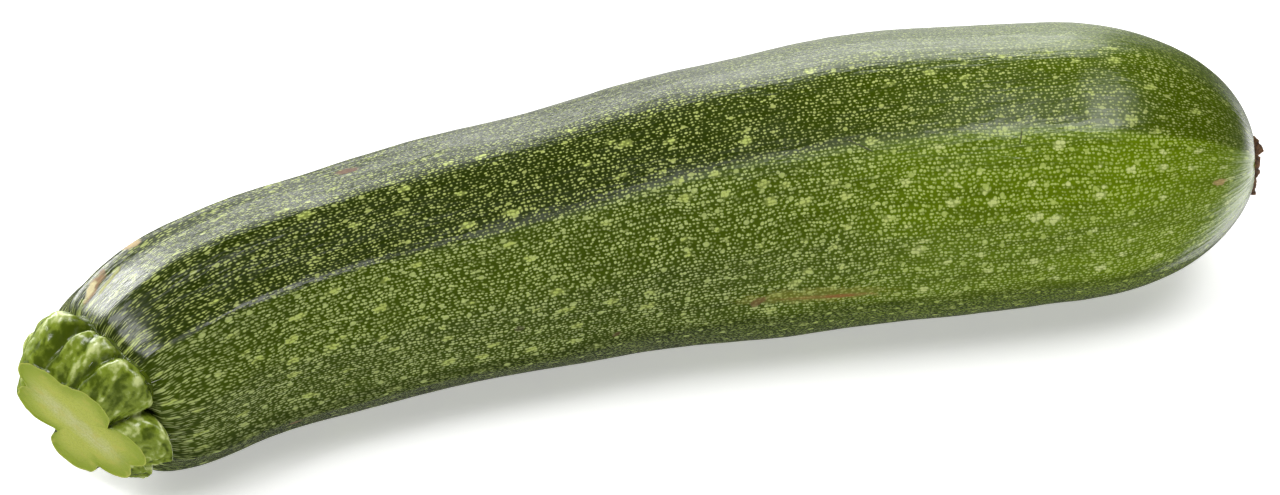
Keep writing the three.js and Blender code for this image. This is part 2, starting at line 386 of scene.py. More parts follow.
def skin_material():
    made, graph, shader = material("speckled skin")
    place = graph.node("ShaderNodeUVMap", uv_map="SkinMap")
    share, turn, _ = graph.separate(graph.out(place, "UV"))
    along = share * SKIN_LENGTH
    angle = turn * 360 - 90
    position = graph.out(graph.node("ShaderNodeTexCoord"), "Object")

    # Where things are: near the stem, near the blossom, on the pale side below the front rib.
    cloud = graph.noise(position, 45, 3)
    streak = graph.noise(graph.combine(along * 0.07, turn * 100), 1, 3, 0.6)
    wander = 6 * (cloud - 0.5) + 4 * (streak - 0.5)
    above = angle - rib_line(graph, along) + wander
    low = angle + 3 * wander - graph.smooth(along, 90, 150, 0, 18)
    shaded = graph.smooth(above, 1.5, -2.5) * graph.smooth(low, -70, -50)
    blossom = graph.smooth(along + 50 * (cloud - 0.5), 80, 172)
    neck = graph.math("EXPONENT", along / -NECK_FADE)

    ground = graph.blend(shaded * (1 - 0.3 * neck), DARK_GREEN, MID_GREEN)
    ground = graph.blend(blossom * (0.42 + 0.6 * shaded), ground, YELLOW_GREEN)
    ground = graph.blend(graph.smooth(streak, 0.6, 0.3, 0, 0.3), ground, DARK_GREEN)

    # Painted shade: a darker band low on the front, where the fruit turns under.
    below = graph.smooth(angle + 0.8 * wander, -8, -14) * graph.smooth(angle, -54, -44)
    ground = graph.blend(0.55 * below, ground, DARK_GREEN)
    # Painted shade behind the top: speckles, patches and drops are dimmed there, and the streaked
    # relief grows there too.
    painted_top_shade_and_streaks = graph.smooth(angle, 94, 108) * graph.smooth(angle, 210, 180)
    painted_top_shade_and_streaks = painted_top_shade_and_streaks * graph.smooth(along, 20, 90, 0.3, 1)

    # Pale speckles in rows along the fruit, drawn out into dashes on the neck.
    jitter = graph.noise(position, 900, 2) - 0.5
    bend = 5 * (graph.noise(position, 70, 1) - 0.5) + 1.6 * (graph.noise(position, 300, 1) - 0.5)
    stretched = along - 15 * (1 - neck)
    chain = graph.smooth(streak, 0.3, 0.68)
    pull = graph.smooth(along, 5, 80, 0.5, 0.82)
    row = turn * SPECKLE_ROWS + bend + 0.5 * jitter
    dot, chance, size, tint, bold = threaded(
        graph, stretched / SPECKLE_PITCH + 0.4 * jitter, row, pull)
    bold = graph.smooth(bold, 0.36, 0.64)

    # Scattered larger drops.
    drop, drop_chance, drop_size, _ = cells(
        graph, stretched / DROP_PITCH + 0.1 * jitter, turn * DROP_ROWS + 0.1 * jitter)
    drop = graph.smooth(0.05 + 0.07 * drop_size + 0.02 * shaded - drop, -0.035, 0.02)
    drop = drop * graph.math("GREATER_THAN", 0.55, drop_chance)

    # Larger patches where the speckles run together.
    patch_run = along - 33 * (1 - graph.math("EXPONENT", along / -50))
    wide, wide_chance, wide_size, _ = cells(
        graph, patch_run / PATCH_PITCH + 0.4 * jitter, turn * PATCH_ROWS + 0.4 * jitter)
    blotch = graph.smooth(0.05 + 0.12 * wide_size - wide, -0.08, 0.05)
    blotch = blotch * graph.math("GREATER_THAN", 0.42 + 0.18 * shaded, wide_chance)
    # Painted shade low on the front and behind the top dims the patches.
    blotch = blotch * (1 - 0.85 * painted_top_shade_and_streaks) * (1 - 0.6 * below)

    # The speckles' size and brightness, then all the layers of colour.
    radius = 0.07 + 0.2 * size * size + 0.07 * shaded + 0.04 * chain + 0.08 * bold
    radius = radius - 0.03 * neck + 0.16 * blotch
    bright = 0.25 + 0.75 * graph.smooth(chance + 0.4 * chain + 0.4 * bold, 0.1, 1.3)
    # Painted shade low on the front and behind the top dims the speckles.
    bright = bright * (1 - 0.3 * neck) * (1 - 0.55 * painted_top_shade_and_streaks) * (1 - 0.56 * below)
    bright = bright * graph.smooth(along, SKIN_LENGTH, 170, 0.3, 1)
    speckle = graph.smooth(radius - dot, -0.1, 0.1) * graph.clamped(0.92 * bright + 0.5 * blotch)
    pale = graph.blend(shaded, DARK_SIDE_SPECKLE, PALE_SPECKLE)
    pale = graph.blend(blossom * shaded * 0.6 + tint * 0.25, pale, BLOSSOM_SPECKLE)
    halo = graph.smooth(radius + 0.16 - dot, -0.1, 0.2)
    spotted = graph.blend(blotch, pale, YOUNG_BLOTCH)
    spotted = graph.blend(blotch * shaded * blossom, spotted, PALE_BLOTCH)
    colour = graph.blend(0.1 * halo + 0.4 * blotch, ground, spotted)
    colour = graph.blend(speckle, colour, spotted)
    # Painted shade behind the top dims the drops.
    colour = graph.blend(0.75 * drop * (1 - 0.7 * painted_top_shade_and_streaks), colour, pale)
    colour, scarred = marked(graph, colour, along, angle, position)
    graph.put(shader.inputs["Base Color"], colour)

    # Gloss in streaks, and fine relief along the fruit.
    ripple = graph.noise(graph.combine(along * 0.16, turn * 110), 1, 3, 0.6)
    brushed = graph.noise(graph.combine(along * 0.3, turn * 320), 1, 2, 0.6)
    wax = graph.noise(graph.combine(along * 0.1, turn * 200), 1, 3, 0.7)
    rough = 0.12 + 0.08 * cloud + 0.1 * graph.smooth(wax, 0.62, 0.38)
    graph.put(shader.inputs["Roughness"], rough + 0.1 * speckle + 0.4 * scarred)
    shader.inputs["Specular IOR Level"].default_value = 0.43
    height = 0.15 * ripple + (0.014 + 0.014 * painted_top_shade_and_streaks) * brushed + 0.004 * speckle + 0.03 * scarred
    graph.bump(shader, height, MM, 1.0)
    return made


# ---------- The fruit ----------


def centre_line_point(x):
    hook = max(0, (HOOK_START_X - x) / (HOOK_START_X - FRUIT_START_X))
    bow = (x - CROWN_X) ** 2 / (2 * BOW_RADIUS)
    return Vector((x, CROWN_Y - bow - HOOK_DEPTH * hook ** 3, 0))


def resting_centre(x, mean):
    """The centre line's point at x, as high as the fruit's mean radius there asks."""
    centre = centre_line_point(x)
    lift = END_LIFT * ((x - REST_CENTRE_X) / (FRUIT_END_X - REST_CENTRE_X)) ** 2
    centre.z = mean + RIB_HEIGHT - REST_FLAT_DEPTH + lift
    return centre


def cubic(stations, values, at):
    """A smooth curve through evenly weighted stations."""
    last = len(stations) - 2
    index = next((i for i in range(last + 1) if at <= stations[i + 1]), last)
    slopes = np.gradient(values, stations)
    span = stations[index + 1] - stations[index]
    s = (at - stations[index]) / span
    return (
        (2 * s ** 3 - 3 * s ** 2 + 1) * values[index]
        + (s ** 3 - 2 * s ** 2 + s) * span * slopes[index]
        + (3 * s ** 2 - 2 * s ** 3) * values[index + 1]
        + (s ** 3 - s ** 2) * span * slopes[index + 1]
    )


def centre_line(points=241):
    """The fruit's centre line, carrying its mean radius and height at each point."""
    shares = [i / (points - 1) for i in range(points)]
    line = [centre_line_point(lerp(FRUIT_START_X, FRUIT_END_X, share)) for share in shares]
    steps = [0] + [(b - a).length for a, b in zip(line, line[1:])]
    run = np.cumsum(steps)
    curve = bpy.data.curves.new("centre line", "CURVE")
    curve.dimensions = "3D"
    spline = curve.splines.new("POLY")
    spline.points.add(points - 1)
    for target, point, distance in zip(spline.points, line, run):
        mean = cubic(GIRTH_STATIONS, GIRTH_RADII, distance / run[-1]) * MM
        target.co = (*resting_centre(point.x, mean), 1)
        target.radius = mean
    return curve


def node_tree(name, inputs):
    """An empty node group with its inputs, and the outputs of its group input by name."""
    tree = bpy.data.node_groups.new(name, "GeometryNodeTree")
    tree.interface.new_socket("Geometry", in_out="INPUT", socket_type="NodeSocketGeometry")
    for socket, kind, _ in inputs:
        tree.interface.new_socket(socket, in_out="INPUT", socket_type="NodeSocket" + kind)
    tree.interface.new_socket("Geometry", in_out="OUTPUT", socket_type="NodeSocketGeometry")
    graph = Graph(tree)
    entry = graph.node("NodeGroupInput")
    return tree, graph, {s.name: Wire(graph, s) for s in entry.outputs if s.name}


def fruit_inputs(skin):
    """Name, socket type and value of each input of the fruit's node group."""
    return (
        ("Steps Along", "Int", 250),
        ("Steps Round", "Int", 380),
        ("Cap Share", "Float", 0.01),
        ("Shoulder Length", "Float", 18.5 * MM),
        ("Shoulder End Radius", "Float", 12 * MM),
        ("Dome Length", "Float", 30 * MM),
        ("Dome End Radius", "Float", 4.8 * MM),
        ("Dome Droop", "Float", DOME_DROOP),
        ("Rib Count", "Float", 10),
        ("Rib Height", "Float", 0.12 * MM),
        ("Rib Sharpness", "Float", 0.2),
        ("Main Rib Share", "Float", 0.2),
        ("Neck Rib Gain", "Float", 3.6),
        ("Neck Rib Reach", "Float", 48 * MM),
        ("Dome Rib Gain", "Float", 0.3),
        ("Lump Height", "Float", 0.25 * MM),
        ("Lump Size", "Float", 14 * MM),
        ("Skin", "Material", skin),
    )


def fruit_nodes(inputs):
    tree, graph, get = node_tree("ribbed fruit", inputs)
    grid = graph.node("GeometryNodeMeshGrid", {
        "Size X": 1.0, "Size Y": 1.0,
        "Vertices X": get["Steps Along"], "Vertices Y": get["Steps Round"],
    })
    share, turn, _ = graph.separate(graph.out(grid, "UV Map"))
    cap = get["Cap Share"]
    body = graph.clamped((share - cap) / (1 - 2 * cap))
    closing = graph.clamped(graph.math("MINIMUM", share, 1 - share) / cap)
    even = 0.25 * body + 0.75 * (1 - graph.math("COSINE", math.pi * body)) / 2
    angle = turn * (2 * math.pi) - math.pi / 2

    length = graph.out(graph.node("GeometryNodeCurveLength", {"Curve": get["Geometry"]}), "Length")
    distance = even * length
    sample = graph.node(
        "GeometryNodeSampleCurve", mode="LENGTH", use_all_curves=True, data_type="FLOAT")
    graph.put(sample.inputs["Curves"], get["Geometry"])
    mean_radius = graph.out(graph.node("GeometryNodeInputRadius"), "Radius")
    graph.put(enabled(sample.inputs, "Value"), mean_radius)
    graph.put(sample.inputs["Length"], distance)
    centre = graph.out(sample, "Position")
    mean = graph.out(sample, "Value")
    forward = graph.vector_math("MULTIPLY", graph.out(sample, "Tangent"), (1, 1, 0))
    front = graph.vector_math("NORMALIZE", graph.vector_math("CROSS_PRODUCT", forward, tuple(UP)))

    def rounded_off(value):
        return graph.math("SQRT", 1 - graph.clamped(value) ** 2)

    def faded(value):
        return graph.math("EXPONENT", -1 * value ** 2)

    def moved(start, outwards, upwards):
        start = graph.vector_math("ADD", start, graph.scaled(front, outwards))
        return graph.vector_math("ADD", start, graph.combine(0.0, 0.0, upwards))

    pole = graph.math("SQRT", 1 - (get["Dome End Radius"] / mean) ** 2)
    dome_start = length - get["Dome Length"] * pole
    domed = mean * rounded_off((distance - dome_start) / get["Dome Length"])
    shoulder = rounded_off(1 - distance / get["Shoulder Length"])
    radius = get["Shoulder End Radius"] * (1 - shoulder) + domed * shoulder

    rib_turn = angle - math.pi / 180 * rib_line(graph, distance / MM)
    wave = graph.math("COSINE", get["Rib Count"] * rib_turn)
    wave = wave + get["Rib Sharpness"] * graph.math("COSINE", 2 * get["Rib Count"] * rib_turn)
    main = 1 + get["Main Rib Share"] * graph.math("COSINE", get["Rib Count"] / 2 * rib_turn)
    neck = get["Neck Rib Gain"] * faded(distance / get["Neck Rib Reach"])
    blossom = get["Dome Rib Gain"] * faded((length - distance) / get["Dome Length"])
    relief = get["Rib Height"] * wave * main * (1 + neck + blossom)

    level, upright = graph.math("COSINE", angle), graph.math("SINE", angle)
    low_side = graph.math("MAXIMUM", 0, -1 * upright)
    fade = 1 - low_side ** 6
    for height, pitch, crest, crest_angle, lobes in SWELLINGS:
        phase = 2 * math.pi / (pitch * MM) * (distance - crest * MM)
        phase = phase + lobes * (angle - math.radians(crest_angle))
        relief = relief + fade * (height * MM) * graph.math("COSINE", phase)

    reach = (radius + radius / mean * relief) * closing
    droop = graph.clamped(1 - (length - distance) / get["Dome Length"]) ** 6 * get["Dome Droop"]
    droop = DROOP_SLANT * droop
    place = moved(centre, reach * level + droop, reach * upright - droop)

    lumps = graph.noise(place, 1 / get["Lump Size"], 3, 0.55)
    lump = (lumps - 0.5) * get["Lump Height"] * 2 * fade * radius / mean * closing
    x, y, z = graph.separate(moved(place, lump * level, lump * upright))
    place = graph.combine(x, y, graph.math("MAXIMUM", z, 0))

    flow = graph.out(grid, "Mesh")
    maps = {"OFBake": graph.combine(share, turn), "SkinMap": graph.combine(even, turn)}
    for name, value in maps.items():
        stored = graph.node("GeometryNodeStoreNamedAttribute", data_type="FLOAT2", domain="CORNER")
        graph.put(stored.inputs["Geometry"], flow)
        stored.inputs["Name"].default_value = name
        graph.put(enabled(stored.inputs, "Value"), value)
        flow = graph.out(stored, "Geometry")
    flow = graph.after(flow, "GeometryNodeSetPosition", Position=place)
    flow = graph.after(flow, "GeometryNodeMergeByDistance", Distance=SEWING_DISTANCE)
    flow = graph.after(flow, "GeometryNodeSetShadeSmooth")
    graph.finish(flow, get["Skin"])
    return tree


def grown_mesh(name, source, tree, inputs):
    """The plain mesh that a node group makes from some source data."""
    maker = bpy.data.objects.new(name, source)
    bpy.context.scene.collection.objects.link(maker)
    modifier = maker.modifiers.new("grow", "NODES")
    modifier.node_group = tree
    sockets = {s.name: s.identifier for s in tree.interface.items_tree if s.in_out == "INPUT"}
    for socket, _, value in inputs:
        modifier[sockets[socket]] = value
    evaluated = maker.evaluated_get(bpy.context.evaluated_depsgraph_get())
    mesh = bpy.data.meshes.new_from_object(evaluated)
    mesh.name = name
    bpy.data.objects.remove(maker)
    return mesh


def add_piece(name, mesh, node):
    piece = bpy.data.objects.new(name, mesh)
    bpy.context.scene.collection.objects.link(piece)
    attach(piece, "root")
    if node:
        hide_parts(node)
    return piece


def mesh_box(mesh):
    places = np.empty(3 * len(mesh.vertices))
    mesh.vertices.foreach_get("co", places)
    places = places.reshape(-1, 3)
    return places.min(axis=0), places.max(axis=0)


fruit_values = fruit_inputs(skin_material())
fruit_mesh = grown_mesh("courgette_skin", centre_line(), fruit_nodes(fruit_values), fruit_values)
own_low, own_high = mesh_box(fruit_mesh)
cad_low, cad_high = (np.array(corner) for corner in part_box("fruit"))
shift = (cad_low + cad_high - own_low - own_high) / 2
shift[2] = 0
fruit_mesh.transform(Matrix.Translation(Vector(shift)))
add_piece("courgette_skin", fruit_mesh, "fruit")

# ---------- The stem ----------


def lofted_mesh(name, rows, maps, attributes, slots):
    """A closed mesh through rows of points, whose first and last rows are each one point.

    maps holds, for each UV map, one pair of rows of places for each band of faces.
    attributes holds one value for each point, and slots one material index for each band.
    """
    bands, around = rows.shape[0] - 1, rows.shape[1]
    faces, corners = [], []
    for band in range(bands):
        for step in range(around):
            here = band * around + step
            beside = band * around + (step + 1) % around
            faces.append((here, beside, beside + around, here + around))
            corners += [(band, 0, step), (band, 0, step + 1), (band, 1, step + 1), (band, 1, step)]
    mesh = bpy.data.meshes.new(name)
    mesh.from_pydata(rows.reshape(-1, 3).tolist(), [], faces)
    band, side, step = np.array(corners).T
    for map_name, places in maps.items():
        layer = mesh.uv_layers.new(name=map_name)
        layer.data.foreach_set("uv", places[band, side, step].ravel())
    for attribute_name, values in attributes.items():
        layer = mesh.attributes.new(attribute_name, "FLOAT", "POINT")
        layer.data.foreach_set("value", values.ravel())
    mesh.polygons.foreach_set("material_index", np.repeat(slots, around))
    mesh.polygons.foreach_set("use_smooth", [True] * len(faces))
    sewn = bmesh.new()
    sewn.from_mesh(mesh)
    bmesh.ops.remove_doubles(sewn, verts=sewn.verts, dist=LOFT_SEWING_DISTANCE)
    bmesh.ops.recalc_face_normals(sewn, faces=sewn.faces)
    sewn.to_mesh(mesh)
    sewn.free()
    return mesh


def disc_map(bands, steps, middle, size, far, near):
    """Places on a flat disc for bands of faces whose share of the radius goes from far to near."""
    turn = np.linspace(0, 2 * math.pi, steps + 1)
    shares = np.linspace(far, near, bands + 1)
    places = np.stack([np.outer(shares, np.cos(turn)), np.outer(shares, np.sin(turn))], axis=-1)
    places = np.array(middle) + size * places
    return np.stack([places[:-1], places[1:]], axis=1)


def strip_map(bands, steps, low, high):
    """Places on a strip as wide as the map for bands of faces from its low to its high edge."""
    across, up = np.meshgrid(np.linspace(0, 1, steps + 1), np.linspace(low, high, bands + 1))
    places = np.stack([across, up], axis=-1)
    return np.stack([places[:-1], places[1:]], axis=1)


def stem_radius(angle, share):
    core = lerp(STEM_CORE_AT_FOOT, STEM_CORE_AT_CUT, share) / MM
    total = core ** LOBE_BLEND
    for radius, foot_angle, foot_reach, cut_angle, cut_reach in STEM_LOBES:
        turn = angle - math.radians(lerp(foot_angle, cut_angle, share))
        offset = lerp(foot_reach, cut_reach, share) - radius
        side = offset * math.sin(turn)
        if math.cos(turn) > 0 and abs(side) < radius:
            total += (offset * math.cos(turn) + math.sqrt(radius ** 2 - side ** 2)) ** LOBE_BLEND
    return (1 + STEM_BULGE * math.sin(math.pi * share)) * total ** (1 / LOBE_BLEND) * MM


def ridges(point, seed):
    """Sharp-topped noise from 0 to 1."""
    return 1 - min(1, 2.2 * abs(noise.noise(Vector(point) + Vector((seed, seed, seed)))))


STEM_STEPS_ROUND = 400
STEM_STEPS_ALONG = 90
CUT_STEPS = 34
# A step along the centre line that shows which way its end points.
SHORT_STEP = 0.1 * MM
# How wide a fold is, and how strongly folds, knuckles and the pinched foot shape the skin.
FOLD_WIDTH = 0.8 * MM
FOLD_WEIGHT = 1.4
KNUCKLE_WEIGHT = 1.2
FOOT_PINCH = 0.9
CUT_RIM_WIDTH = 0.5 * MM
FIBRE_SIZE = 1.1 * MM
# Bristles are thickest around one row of the mesh near the foot, and thin on the rest.
HAIRY_ROW = 12
HAIRY_SPREAD = 9
THIN_HAIR = 0.06


def stem_mesh():
    step = centre_line_point(FRUIT_START_X + SHORT_STEP) - centre_line_point(FRUIT_START_X)
    outward = -step.normalized()
    foot = resting_centre(FRUIT_START_X, GIRTH_RADII[0] * MM)
    cut_normal = Vector((
        -math.cos(STEM_CUT_HEADING) * math.cos(STEM_CUT_DIP),
        -math.sin(STEM_CUT_HEADING) * math.cos(STEM_CUT_DIP),
        -math.sin(STEM_CUT_DIP),
    ))
    knee = foot + outward * (foot - STEM_CUT_CENTRE).length / 2
    angles = [2 * math.pi * i / STEM_STEPS_ROUND for i in range(STEM_STEPS_ROUND)]
    rows, pale = [], []

    def add_row(share, sink, inner, relief):
        centre = foot * (1 - share) ** 2 + knee * 2 * share * (1 - share)
        centre += STEM_CUT_CENTRE * share ** 2
        normal = outward.lerp(cut_normal, share).normalized()
        front = UP.cross(normal).normalized()
        rise = normal.cross(front)
        row, tint = [], []
        for angle in angles:
            reach = stem_radius(angle, share)
            out, raised, ridge = relief(angle, share, reach)
            flat = front * math.cos(angle) + rise * math.sin(angle)
            row.append(centre + flat * ((reach + out) * inner) + normal * (raised - sink))
            tint.append(ridge)
        rows.append(row)
        pale.append(tint)

    def smooth_skin(angle, share, reach):
        return 0, 0, 0.5

    def wrinkled_skin(angle, share, reach):
        veins = ridges((math.cos(angle) * 6, math.sin(angle) * 6, share * 1.6), 3)
        warts = noise_round(angle, 8, share * 4)
        fine = noise_round(angle, 24, share * 10)
        folds = 0
        for foot_angle, cut_angle, depth in STEM_FOLDS:
            turn = angle - math.radians(lerp(foot_angle, cut_angle, share))
            turn = (turn + math.pi) % (2 * math.pi) - math.pi
            folds += depth * math.exp(-(turn * reach / FOLD_WIDTH) ** 2) * (1 - 0.6 * share)
        pinch = math.exp(-(share / 0.09) ** 2)
        rough = min(1, share / 0.1) * min(1, (1 - share) / 0.06 + 0.45)
        knuckle = 0.7 * math.exp(-((share - 0.32) / 0.2) ** 2)
        out = 0.3 * (veins - 0.5) + 0.4 * warts + 0.1 * fine
        out = rough * (out - FOLD_WEIGHT * folds + KNUCKLE_WEIGHT * knuckle) - FOOT_PINCH * pinch
        # The pale tint mixes painted light into the stem's own veins, warts and mottling: a
        # painted sheen along the knuckles, and painted shade in the folds and at the pinched foot.
        tint = 0.36 + 0.4 * (veins - 0.5) + 0.5 * knuckle * veins + 0.5 * warts + 0.4 * fine
        tint -= 0.5 * (folds + pinch)
        return out * MM, 0, tint

    add_row(0, STEM_ROOT_DEPTH, 0, smooth_skin)
    add_row(0, STEM_ROOT_DEPTH, 0.8, smooth_skin)
    for i in range(STEM_STEPS_ALONG + 1):
        add_row(i / STEM_STEPS_ALONG, 0, 1, wrinkled_skin)
    cut_rim = [Vector(point) for point in rows[-1]]
    middle = STEM_CUT_CENTRE
    for i in range(1, CUT_STEPS + 1):
        inner = 1 - (i / CUT_STEPS)
        row, tint = [], []
        for point in cut_rim:
            spoke = point - middle
            inset = min(1, spoke.length * (1 - inner) / CUT_RIM_WIDTH)
            fibre = noise.noise((middle + spoke * inner) / FIBRE_SIZE)
            raised = 0.12 * math.sin(math.pi * inset) - 0.15 * inset + 0.1 * fibre * (1 - inner)
            raised = raised * MM if i < CUT_STEPS else 0
            row.append(middle + spoke * inner + cut_normal * raised)
            tint.append(inner)
        rows.append(row)
        pale.append(tint)
    side_bands = STEM_STEPS_ALONG + 1
    bake = np.concatenate([
        disc_map(1, STEM_STEPS_ROUND, (0.6, 0.8), 0.19, 0, 1),
        strip_map(side_bands, STEM_STEPS_ROUND, 0, 0.6),
        disc_map(CUT_STEPS, STEM_STEPS_ROUND, (0.2, 0.8), 0.19, 1, 0),
    ])
    row_index = np.arange(len(rows))
    hairy = np.exp(-((row_index - HAIRY_ROW) / HAIRY_SPREAD) ** 2)
    hairy = np.outer(hairy + THIN_HAIR * (row_index < side_bands), np.ones(STEM_STEPS_ROUND))
    places = np.array(rows)
    front = UP.cross(cut_normal).normalized()
    rise = cut_normal.cross(front)
    flat = (places - np.array(middle)) / MM
    plane = np.stack([flat @ np.array(front), flat @ np.array(rise)], axis=-1)
    plane = np.concatenate([plane, plane[:, :1]], axis=1)
    plane = np.stack([plane[:-1], plane[1:]], axis=1)
    slots = [0] * (1 + side_bands) + [1] * CUT_STEPS
    maps = {"OFBake": bake, "CutMap": plane}
    attributes = {"pale": np.array(pale), "hairy": hairy}
    return lofted_mesh("courgette_stem", places, maps, attributes, slots)


def stem_skin_material():
    made, graph, shader = material("stem skin")
    position = graph.out(graph.node("ShaderNodeTexCoord"), "Object")
    # The pale attribute holds the stem's own mottling, with a painted sheen on the knuckles and
    # painted shade in the folds and at the pinched foot.
    pale = graph.out(graph.node("ShaderNodeAttribute", attribute_name="pale"), "Fac")
    mottle = graph.noise(position, 1100, 3, 0.6)
    tone = pale + 1.1 * (mottle - 0.5)
    base = graph.blend(graph.smooth(tone, -0.1, 0.5), display(72, 88, 10), display(124, 142, 42))
    base = graph.blend(graph.smooth(tone, 0.45, 1.05), base, display(198, 208, 136))
    graph.put(shader.inputs["Base Color"], base)
    graph.put(shader.inputs["Roughness"], 0.12 + 0.2 * mottle)
    shader.inputs["Specular IOR Level"].default_value = 0.8
    graph.bump(shader, mottle, 0.12 * MM, 0.4)
    return made


# The pale core of the cut runs at this angle across the cut face, in degrees.
CUT_GRAIN_ANGLE = 147


def cut_flesh_material():
    made, graph, shader = material("cut flesh")
    plane = graph.node("ShaderNodeUVMap", uv_map="CutMap")
    across, up, _ = graph.separate(graph.out(plane, "UV"))
    inner = graph.out(graph.node("ShaderNodeAttribute", attribute_name="pale"), "Fac")
    lean = math.radians(CUT_GRAIN_ANGLE)
    long_way = across * math.cos(lean) + up * math.sin(lean)
    side_way = up * math.cos(lean) - across * math.sin(lean)
    fibres = graph.noise(graph.combine(long_way * 0.4, side_way * 2.6), 1, 5, 0.7, 0.5)
    cloud = graph.noise(graph.combine(across, up), 0.4, 4, 0.6)
    pores = graph.noise(graph.combine(across, up), 3.2, 3, 0.7)
    streak = graph.smooth(graph.math("ABSOLUTE", side_way) + 3 * (cloud - 0.5), 0.4, 3.6, 1, 0)
    streak = streak * graph.smooth(graph.math("ABSOLUTE", long_way), 11, 4)
    base = graph.blend(graph.smooth(inner, 0.5, 1.0), display(182, 190, 76), display(146, 166, 36))
    streak = streak * graph.smooth(fibres, 0.3, 0.62, 0.15, 1)
    base = graph.blend(streak, base, display(196, 198, 138))
    base = graph.blend(graph.smooth(pores, 0.48, 0.62, 0, 0.4), base, display(134, 146, 46))
    base = graph.blend(graph.smooth(cloud, 0.5, 0.68, 0, 0.5), base, display(190, 184, 84))
    base = graph.blend(graph.smooth(inner, 0.975, 0.99), base, display(196, 208, 120))
    graph.put(shader.inputs["Base Color"], base)
    graph.put(shader.inputs["Roughness"], 0.42 + 0.2 * cloud)
    shader.inputs["Specular IOR Level"].default_value = 0.3
    graph.bump(shader, fibres + pores, 0.2 * MM, 0.6)
    return made


stem = stem_mesh()
stem.materials.append(stem_skin_material())
stem.materials.append(cut_flesh_material())
stem.transform(Matrix.Translation(Vector(shift)))
add_piece("courgette_stem", stem, "stem")

# ---------- Bristles at the foot of the stem ----------


def bristle_inputs(hair):
    return (
        ("Density", "Float", 2.2e5),
        ("Length", "Float", 1.5 * MM),
        ("Thickness", "Float", 0.08 * MM),
        ("Lean", "Float", 0.7),
        ("Seed", "Int", 5),
        ("Hair", "Material", hair),
    )


def bristle_nodes(inputs):
    tree, graph, get = node_tree("bristles", inputs)
    hairy = graph.node("GeometryNodeInputNamedAttribute", {"Name": "hairy"}, data_type="FLOAT")
    density = graph.out(hairy, "Attribute") * get["Density"]
    spread = graph.node("GeometryNodeDistributePointsOnFaces", {
        "Mesh": get["Geometry"], "Density": density, "Seed": get["Seed"],
    })
    cone = graph.node("GeometryNodeMeshCone", {
        "Vertices": 5, "Side Segments": 3, "Radius Top": 0.004 * MM,
        "Radius Bottom": get["Thickness"] / 2, "Depth": get["Length"],
    })
    tilt = graph.node("FunctionNodeRandomValue", data_type="FLOAT_VECTOR")
    for name, sign in (("Min", -1), ("Max", 1)):
        lean = sign * get["Lean"]
        graph.put(enabled(tilt.inputs, name), graph.combine(lean, lean, 0.0))
    graph.put(enabled(tilt.inputs, "Seed"), get["Seed"])
    turned = graph.node("FunctionNodeRotateRotation", {
        "Rotation": graph.out(spread, "Rotation"), "Rotate By": graph.out(tilt, "Value"),
    }, rotation_space="LOCAL")
    size = graph.node("FunctionNodeRandomValue", data_type="FLOAT")
    for name, value in (("Min", 0.4), ("Max", 1.2)):
        graph.put(enabled(size.inputs, name), value)
    placed = graph.node("GeometryNodeInstanceOnPoints", {
        "Points": graph.out(spread, "Points"), "Instance": graph.out(cone, "Mesh"),
        "Rotation": graph.out(turned, "Rotation"), "Scale": graph.out(size, "Value"),
    })
    graph.finish(graph.out(placed, "Instances"), get["Hair"])
    return tree


def hair_material():
    made, _, shader = material("pale hair")
    shader.inputs["Base Color"].default_value = display(226, 230, 206)
    shader.inputs["Roughness"].default_value = 0.4
    return made


hair_values = bristle_inputs(hair_material())
bristle_mesh = grown_mesh("stem_bristles", stem, bristle_nodes(hair_values), hair_values)
add_piece("stem_bristles", bristle_mesh, None)

# ---------- The blossom scar ----------

SCAR_RADIUS = 4.6 * MM
SCAR_DROP = 1.2 * MM
SCAR_STEPS_ROUND = 180
# Height of the crust in mm at shares of its radius, from its rim to its middle.
SCAR_PROFILE = (
    (1.0, -0.8), (1.04, 0.25), (0.96, 0.75), (0.8, 1.05), (0.62, 1.15),
    (0.45, 0.95), (0.3, 0.6), (0.15, 0.5), (0.0, 0.55),
)
# Torn tips that stand out further: angle and spread in degrees, and gain in height.
SCAR_TIPS = ((28, 26, 1.3), (86, 12, 0.8))
SCAR_ROWS = 40


def scar_mesh():
    step = centre_line_point(FRUIT_END_X) - centre_line_point(FRUIT_END_X - SHORT_STEP)
    along = step.normalized()
    front = UP.cross(along)
    end = resting_centre(FRUIT_END_X, GIRTH_RADII[-1] * MM)
    end += (along.cross(UP) - UP).normalized() * DOME_DROOP - UP * SCAR_DROP
    shares = [share for share, _ in SCAR_PROFILE][::-1]
    heights = [height for _, height in SCAR_PROFILE][::-1]
    stations = np.linspace(0, 1, len(shares))
    rows, pale = [], []
    for station in [None] + list(np.linspace(1, 0, SCAR_ROWS)):
        share = 0 if station is None else cubic(stations, shares, station)
        height = heights[-1] if station is None else cubic(stations, heights, station)
        row, tint = [], []
        for i in range(SCAR_STEPS_ROUND):
            angle = 2 * math.pi * i / SCAR_STEPS_ROUND
            ragged = noise_round(angle, 2.2, 7)
            proud = 0.5 + 0.7 * noise_round(angle, 2, share * 2)
            for tip_angle, spread, gain in SCAR_TIPS:
                proud += gain * math.exp(-((math.degrees(angle) - tip_angle) / spread) ** 2)
            reach = (SCAR_RADIUS + 0.25 * MM * math.cos(5 * angle)) * (0.92 + 0.34 * ragged)
            at = Vector((math.cos(angle) * share * 5, math.sin(angle) * share * 5, height))
            rough = noise.noise(at * 0.9) * 0.35 + noise.noise(at * 2.6) * 0.2
            rough *= min(1, share * 3) * (0 if station is None else 1)
            point = end + (front * math.cos(angle) + UP * math.sin(angle)) * reach * share
            out = max(height, 0) * proud + min(height, 0) + rough
            row.append(point + along * out * MM)
            tint.append(0.5 + rough)
        rows.append(row)
        pale.append(tint)
    bands = len(rows) - 1
    bake = disc_map(bands, SCAR_STEPS_ROUND, (0.5, 0.5), 0.5, 1, 0)
    return lofted_mesh(
        "courgette_scar", np.array(rows), {"OFBake": bake}, {"pale": np.array(pale)}, [0] * bands)


